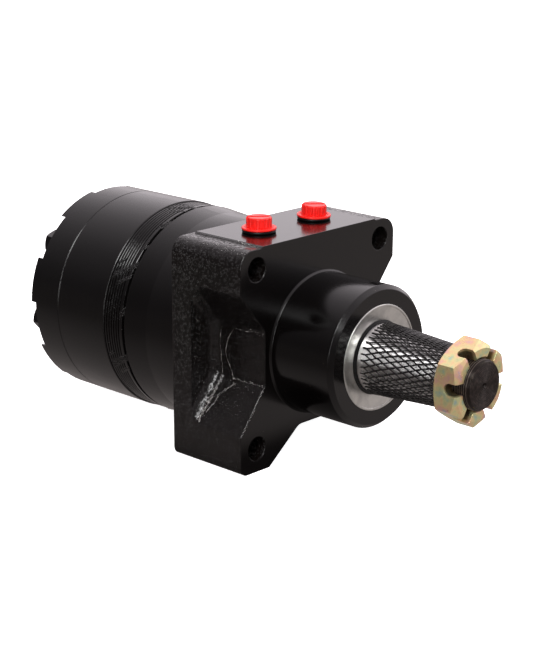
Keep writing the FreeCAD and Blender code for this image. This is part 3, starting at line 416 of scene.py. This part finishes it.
def tube(points, faces, route, radii, sides, outward):
    """Add a closed tube along a route; outward(point) is the direction its sections start from."""
    first = len(points)
    count = len(route)
    for index, centre in enumerate(route):
        ahead = route[min(index + 1, count - 1)] - route[max(index - 1, 0)]
        side = ahead.cross(outward(centre)).normalized()
        lift = side.cross(ahead).normalized()
        across, thick = radii(index)
        for step in range(sides):
            turn = 2 * math.pi * step / sides
            points.append(centre + side * across * math.cos(turn) + lift * thick * math.sin(turn))
    for index in range(count - 1):
        for step in range(sides):
            ahead = (step + 1) % sides
            row = first + index * sides
            faces.append((row + step, row + ahead, row + sides + ahead, row + sides + step))
    faces.append(tuple(first + step for step in reversed(range(sides))))
    faces.append(tuple(first + (count - 1) * sides + step for step in range(sides)))


# ---------------------------------------------------------------- net sleeve


def net_sleeve():
    """The plastic net over the taper: strands that sway and meet their neighbours at knots.

    The strands end in straight stubs at the rear, and the cells are crowded to two sides.
    """
    low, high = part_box("net_sleeve")
    rear, front = low.x, high.x
    strands, periods, steps, sides = 96, 5.6, 12, 6
    stub = 0.0024
    cell = (front - rear - stub - 0.0008) / periods
    taper_rate = 0.0625
    taper_start, taper_radius, clearance = 0.048, 0.01905, 0.0003
    seat = taper_radius + clearance + taper_rate * (taper_start - rear)
    key_angle, key_half_angle = -22, 24
    key_rear, key_front, key_slope = 0.052, 0.092, 0.005
    crowding, sparse_angle = 0.20, 172
    half_width, half_thickness = 0.00041, 0.00045
    sharpness = 0.985
    count = int((periods + stub / cell) * steps)
    points, faces = [], []

    def key_lift(along, angle):
        """How far the net stands off where it passes over the key."""
        off = abs((angle - key_angle + 180) % 360 - 180)
        ends = min(1.0, (along - key_rear) / key_slope, (key_front - along) / key_slope)
        reach = max(0.0, 1 - off / key_half_angle) * max(0.0, ends)
        return 0.0018 * reach ** 0.7

    def section(index):
        """The half width and half thickness of a strand, a little less at its cut ends."""
        taper = 0.85 if min(index, count - index) < 1 else 1.0
        return half_width * taper, half_thickness * taper

    for strand in range(strands):
        side = 1 if strand % 2 else -1
        stray = random.uniform(-0.0004, 0.0004)
        route = []
        for step in range(count + 1):
            reach = step / steps * cell - stub
            wave = max(0.0, reach) / cell
            sway = math.cos(2 * math.pi * wave)
            sway = math.asin(sharpness * sway) / math.asin(sharpness)
            drift = 0.22 * noise.noise(Vector((wave * 0.5, strand // 2 * 0.6, 4.0)))
            turn = 360 * (strand + 0.475 * side * sway + drift) / strands
            crowded = math.degrees(crowding * math.sin(2 * math.radians(turn - sparse_angle)))
            angle = turn + crowded + 0.9 * wave
            shift = 0.0009 * noise.noise(Vector((wave * 0.4, math.cos(math.radians(turn)) * 2.0,
                                                 math.sin(math.radians(turn)) * 2.0)))
            along = rear + 0.0010 + stub + reach + shift + stray * min(1.0, wave)
            along = max(rear + 0.0002, min(along, front - 0.0004))
            knot = max(0.0, abs(sway) - 0.8) * 5
            over = 0.00012 * knot * side
            bunch = 0.00012 * (1 + noise.noise(Vector((along * 90, angle * 0.05, 1.0))))
            lift = 0.00082 + bunch + over + key_lift(along, angle) * 0.6
            route.append(polar(along, seat - taper_rate * (along - rear) + lift, angle))
        tube(points, faces, route, section, sides, lambda centre: Vector((0, centre.y, centre.z)))
    made = piece("net_strands", points, faces, LOOKS["black_net"], "shaft")
    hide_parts("net_sleeve")


# ---------------------------------------------------------------- paint and braze on the manifold


def lumps(name, patches, material):
    """Patches of lumpy paint that lie on the manifold's round surface, sunk into it at their edges.

    Each patch is (angle, half_angle, rear, front, slant, height): it covers an arc about the shaft
    from x = rear to x = front, leaning by slant degrees from front to rear.
    """
    points, faces = [], []
    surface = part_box("manifold_plate_4")[1].z
    column_angle, row_length = 0.28, 0.0003
    tallest = 0.00055
    for number, (angle, half, rear, front, slant, height) in enumerate(patches):
        across = max(6, int(half * 2 / column_angle))
        long = max(6, int((front - rear) / row_length))
        first = len(points)
        for row in range(long + 1):
            share = row / long
            along = rear + (front - rear) * share
            for column in range(across + 1):
                part = column / across * 2 - 1
                rough = noise.fractal(Vector((along * 900, part * half * 1.1, number * 3.7)), 0.8, 2.0, 4)
                edge = 1 - max(abs(part) ** 2.2, abs(share * 2 - 1) ** 6)
                ragged = edge + 0.85 * rough - 0.55
                lift = height * max(-0.7, min(1.0, ragged * 1.6)) * (0.65 + 0.6 * rough)
                turn = angle + part * half + slant * (0.5 - share)
                points.append(polar(along, surface + min(lift, tallest), turn))
        for row in range(long):
            for column in range(across):
                corner = first + row * (across + 1) + column
                faces.append((corner, corner + across + 1, corner + across + 2, corner + 1))
    piece(name, points, faces, material, "motor_body")


def manifold_paint():
    """Seven runs of braze and thick paint that bridge the plates, and a few partial ones."""
    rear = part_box("manifold_plate_7")[0].x
    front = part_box("manifold_plate_1")[1].x
    gap = front + 0.0016
    runs, first_angle = 7, 97
    patches = []
    for number in range(runs):
        angle = first_angle + number * 360 / runs
        patches.append((angle, 2.0, rear + 0.0004, gap, 9.0, 0.00035))
        patches.append((angle + 5, 1.3, rear + 0.0065, gap - 0.0012, 5.0, 0.00028))
        patches.append((angle - 4, 1.0, rear + 0.0002, rear + 0.006, 3.0, 0.00028))
    for angle, half in ((116.5, 3.6), (171, 2.4), (134, 1.4), (246, 2.5), (330, 3.0), (20, 2.5)):
        patches.append((angle, half, front - 0.0030, gap, 3.0, 0.00034))
    patches.append((198, 0.8, rear + 0.0012, front - 0.0006, 6.0, 0.0003))
    lumps("manifold_paint_runs", patches, BRAZE)


# ---------------------------------------------------------------- scuffs and painted highlights on the casting


def fleck_trail(name, trails):
    """Small pale lumps, scuffed paint and painted highlights, strewn along ridges of the casting, each
    lying on its surface.

    Each trail is (points, size, gap, spread): lumps of about that size, a gap apart, spread sideways.
    """
    casting = frame["nodes"]["housing"]
    inward = casting.matrix_world.inverted()
    side_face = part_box("housing")[0].y + 0.0004
    flatness = 0.45
    points, faces = [], []
    ring = 6
    for route, size, gap, spread in trails:
        for start, end in zip(route, route[1:]):
            start, end = Vector(start), Vector(end)
            heading = (end - start).normalized()
            count = max(1, int((end - start).length / gap))
            for index in range(count):
                centre = start.lerp(end, (index + random.random()) / count)
                centre += Vector(random.gauss(0, spread) for _ in range(3))
                _, spot, normal, _ = casting.closest_point_on_mesh(inward @ centre)
                centre = casting.matrix_world @ spot
                if centre.y < side_face:
                    continue
                upward = (casting.matrix_world.to_3x3() @ normal).normalized()
                reach = size * random.uniform(0.4, 1.3)
                side = upward.cross(heading).normalized() * reach
                long = side.cross(upward) * random.uniform(0.8, 2.4)
                top = upward * reach * flatness
                first = len(points)
                for level, width in ((-0.9, 1.0), (0.4, 0.8)):
                    for step in range(ring):
                        turn = 2 * math.pi * (step + random.uniform(-0.3, 0.3)) / ring
                        points.append(centre + (long * math.cos(turn) + side * math.sin(turn)) * width
                                      + top * level)
                points.append(centre + top)
                points.append(centre - top)
                for step in range(ring):
                    ahead = (step + 1) % ring
                    faces.append((first + step, first + ahead, first + ring + ahead, first + ring + step))
                    faces.append((first + ring + step, first + ring + ahead, first + 2 * ring))
                    faces.append((first + ahead, first + step, first + 2 * ring + 1))
    piece(name, points, faces, SCUFFS_AND_HIGHLIGHTS, "motor_body")


def casting_scuffs_and_highlights():
    """The rubbed ridges and specks of the left pocket, and the chipped left end of the port pad: pale
    flecks that are partly scuffed paint and partly painted highlights.
    """
    waist = -0.0455
    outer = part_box("housing")[0].y + 0.0006
    front = -0.0010
    corner = (-0.0333, waist, -0.0170)
    floor_crease = [(-0.0249, waist, 0.0119), (-0.0291, waist, 0.0058), (-0.0314, waist, -0.0025),
                    (-0.0300, waist, -0.0070), (-0.0274, waist, -0.0117), (-0.0240, waist, -0.0185)]
    rear_crease = [(-0.0341, waist, 0.0115), (-0.0354, waist, 0.0026), (-0.0345, waist, -0.0080), corner]
    wide_ridge = [corner, (-0.0335, -0.0500, -0.0226), (-0.0340, -0.0550, -0.0292),
                  (-0.0345, -0.0600, -0.0359), (-0.0354, outer, -0.0422)]
    wall_line = [(-0.0215, -0.0471, -0.0186), (-0.0238, -0.0492, -0.0214), (-0.0294, -0.0526, -0.0259),
                 (-0.0300, -0.0560, -0.0305), (-0.0325, -0.0600, -0.0359)]
    trails = [
        (floor_crease, 0.00017, 0.0006, 0.00012),
        (rear_crease, 0.00013, 0.0007, 0.00030),
        (wide_ridge, 0.00017, 0.00011, 0.00070),
        (wall_line, 0.00017, 0.0003, 0.00035),
        ([(-0.0250, waist, 0.0125), (front, waist, 0.0135)], 0.00018, 0.0013, 0.0005),
        ([(-0.0238, waist, -0.0175), (front, waist, -0.0170)], 0.00020, 0.0007, 0.0005),
        ([(-0.0004, waist, -0.0170), (-0.0004, outer, -0.0424)], 0.00016, 0.0005, 0.0001),
        # The trails of tiny, widely spread flecks are painted highlights: pale stipple standing in for
        # glints on the rough cast walls.
        ([(-0.0240, -0.0480, -0.0200), (-0.0060, -0.0480, -0.0200)], 0.00009, 0.00035, 0.0018),
        ([(-0.0280, -0.0520, -0.0250), (-0.0100, -0.0560, -0.0305)], 0.00008, 0.00040, 0.0040),
        ([(-0.0350, -0.0600, 0.0200), (-0.0380, -0.0590, -0.0300)], 0.00007, 0.0005, 0.0018),
        ([(-0.0200, -0.0478, 0.0645), (-0.0030, -0.0490, 0.0642)], 0.00016, 0.0006, 0.0004),
        ([(-0.0480, -0.0570, 0.0620), (-0.0020, -0.0600, 0.0620)], 0.00011, 0.0006, 0.0022),
    ]
    fleck_trail("casting_scuffs_and_highlights", trails)


# ---------------------------------------------------------------- room


def camera():
    """The camera of the reference view; the lens is for a 36 mm sensor on the frame's long side."""
    azimuth, elevation, roll = (math.radians(angle) for angle in (43.48, 16.68, 0.15))
    back = Vector((math.sin(azimuth) * math.cos(elevation), -math.cos(azimuth) * math.cos(elevation),
                   math.sin(elevation)))
    level = Vector((math.cos(azimuth), math.sin(azimuth), 0))
    upright = back.cross(level)
    right = level * math.cos(roll) + upright * math.sin(roll)
    place = Vector((0.62590, -0.70454, 0.28679))
    data = bpy.data.cameras.new("camera")
    data.sensor_width = 36.0
    data.lens = 91.91
    data.clip_start = 0.05
    data.clip_end = 20.0
    made = bpy.data.objects.new("camera", data)
    turn = Matrix((right, back.cross(right), back)).transposed().to_4x4()
    made.matrix_world = Matrix.Translation(place) @ turn
    bpy.context.scene.collection.objects.link(made)
    bpy.context.scene.camera = made


def softbox(name, place, aim, width, height, power):
    """A rectangular area light that faces a point."""
    data = bpy.data.lights.new(name, "AREA")
    data.shape = "RECTANGLE"
    data.size = width
    data.size_y = height
    data.energy = power
    made = bpy.data.objects.new(name, data)
    made.location = place
    made.rotation_mode = "QUATERNION"
    made.rotation_quaternion = (Vector(aim) - Vector(place)).to_track_quat("-Z", "Y")
    bpy.context.scene.collection.objects.link(made)
    made.visible_camera = False


def studio():
    """The world's light by direction, brighter above and to +Y, and two softboxes."""
    world = bpy.data.worlds.new("studio")
    bpy.context.scene.world = world
    world.use_nodes = True
    nodes, links = world.node_tree.nodes, world.node_tree.links
    nodes.clear()

    def add(kind, **settings):
        """Add a node to the world's graph."""
        made = nodes.new(f"ShaderNode{kind}")
        for name, value in settings.items():
            setattr(made, name, value)
        return made

    def combine(operation, first, second):
        """One Math node's result."""
        made = add("Math", operation=operation)
        for socket, value in zip(made.inputs, (first, second)):
            if isinstance(value, bpy.types.NodeSocket):
                links.new(value, socket)
            else:
                socket.default_value = value
        return made.outputs[0]

    def ramp(value, tint, stops):
        """Brightness of one tint by value, through stops of (position, level)."""
        made = add("ValToRGB")
        links.new(value, made.inputs[0])
        elements = made.color_ramp.elements
        while len(elements) < len(stops):
            elements.new(0.5)
        for element, (position, level) in zip(elements, stops):
            element.position = position
            element.color = (*(level * part for part in tint), 1.0)
        return made.outputs[0]

    split = add("SeparateXYZ")
    links.new(add("TexCoord").outputs["Generated"], split.inputs[0])
    across, up = split.outputs["Y"], split.outputs["Z"]
    lean = combine("ADD", across, combine("MULTIPLY", up, 0.45))
    above = ramp(combine("MULTIPLY", combine("ADD", lean, 1.0), 0.5), (1.0, 0.93, 0.97),
                 [(0.12, 0.05), (0.20, 0.06), (0.44, 0.20), (0.715, 0.46), (0.91, 0.80)])
    below = ramp(combine("MULTIPLY", combine("ADD", across, 1.0), 0.5), (1.0, 0.9, 0.88),
                 [(0.2, 0.10), (0.5, 0.15), (0.85, 0.15)])
    horizon = add("MapRange", interpolation_type="SMOOTHSTEP")
    links.new(up, horizon.inputs["Value"])
    softness = 0.12
    horizon.inputs["From Min"].default_value = -softness
    horizon.inputs["From Max"].default_value = softness
    mixed = add("Mix", data_type="RGBA")
    links.new(horizon.outputs["Result"], mixed.inputs[0])
    links.new(below, mixed.inputs[6])
    links.new(above, mixed.inputs[7])
    light = add("Background")
    light.inputs["Strength"].default_value = 2.0
    links.new(mixed.outputs[2], light.inputs["Color"])
    links.new(light.outputs[0], add("OutputWorld").inputs["Surface"])

    softbox("key_softbox", (0.55, -0.75, 0.95), (0, 0, 0), 0.7, 0.5, 13.0)
    softbox("strip_softbox", (0.46, -1.00, 0.22), (0.05, 0, 0), 0.15, 0.7, 5.0)


def table():
    """A table under the motor that the camera doesn't see: its glow lights and is reflected, with a
    painted shadow dimming the glow under the flange and nose.
    """
    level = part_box("housing")[0].z - 0.0002
    reach = 3.0
    mesh = bpy.data.meshes.new("table")
    mesh.from_pydata([(-reach, -reach, level), (reach, -reach, level), (reach, reach, level),
                      (-reach, reach, level)], [], [(0, 1, 2, 3)])
    made = bpy.data.objects.new("table", mesh)
    bpy.context.scene.collection.objects.link(made)
    look = Surface("table_glow", roughness=1.0, color=(0.0, 0.0, 0.0))
    look.set("Specular IOR Level", 0.0)
    along, across = look.axis("X"), look.axis("Y")
    # Painted shadow: the glow is dimmed in a patch under the flange and nose, standing in for the object's
    # shade on the table.
    painted_shadow = look.math("MULTIPLY", look.ramp(along, -0.10, -0.06), look.ramp(along, 0.05, 0.02))
    painted_shadow = look.math("MULTIPLY", painted_shadow, look.ramp(look.math("ABSOLUTE", across), 0.10, 0.05))
    light = look.math("MULTIPLY", look.ramp(across, -0.30, 0.10, 0.15, 0.55),
                      look.math("SUBTRACT", 1.0, look.math("MULTIPLY", painted_shadow, 0.85)))
    look.set("Emission Color", (1.0, 0.9, 0.88))
    look.set("Emission Strength", light)
    made.data.materials.append(look.done())
    made.visible_camera = False


def sweep():
    """A plain white floor that rises into a round wall and closes above: seen, but not reflected."""
    floor_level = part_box("housing")[0].z
    reach, bend, wall = 6.0, 1.5, 5.0
    segments, rise = 48, 10
    points = [Vector((0, 0, floor_level))]
    rows = [(reach * 0.15, 0.0), (reach * 0.5, 0.0), (reach, 0.0)]
    rows += [(reach + bend * math.sin(step / rise * math.pi / 2),
              bend * (1 - math.cos(step / rise * math.pi / 2))) for step in range(1, rise + 1)]
    rows.append((reach + bend, wall))
    rows.append((0.3, wall + 3))
    for radius, height in rows:
        for step in range(segments):
            turn = 2 * math.pi * step / segments
            points.append(Vector((radius * math.cos(turn), radius * math.sin(turn), floor_level + height)))
    faces = [(0, 1 + step, 1 + (step + 1) % segments) for step in range(segments)]
    for row in range(len(rows) - 1):
        for step in range(segments):
            ahead = (step + 1) % segments
            start = 1 + row * segments
            faces.append((start + step, start + segments + step, start + segments + ahead, start + ahead))
    mesh = bpy.data.meshes.new("sweep")
    mesh.from_pydata([tuple(point) for point in points], [], faces)
    mesh.shade_smooth()
    made = bpy.data.objects.new("sweep", mesh)
    bpy.context.scene.collection.objects.link(made)
    look = Surface("sweep_white", roughness=1.0, color=(0.9, 0.9, 0.9))
    look.set("Specular IOR Level", 0.0)
    look.set("Emission Color", (1.0, 1.0, 1.0))
    look.set("Emission Strength", 1.0)
    made.data.materials.append(look.done())
    made.visible_diffuse = False
    made.visible_glossy = False
    made.visible_transmission = False
    made.visible_shadow = False


dress_frame()
net_sleeve()
manifold_paint()
casting_scuffs_and_highlights()
camera()
studio()
table()
sweep()
bpy.context.scene.view_settings.view_transform = "Standard"
bpy.context.scene.view_settings.gamma = 0.92
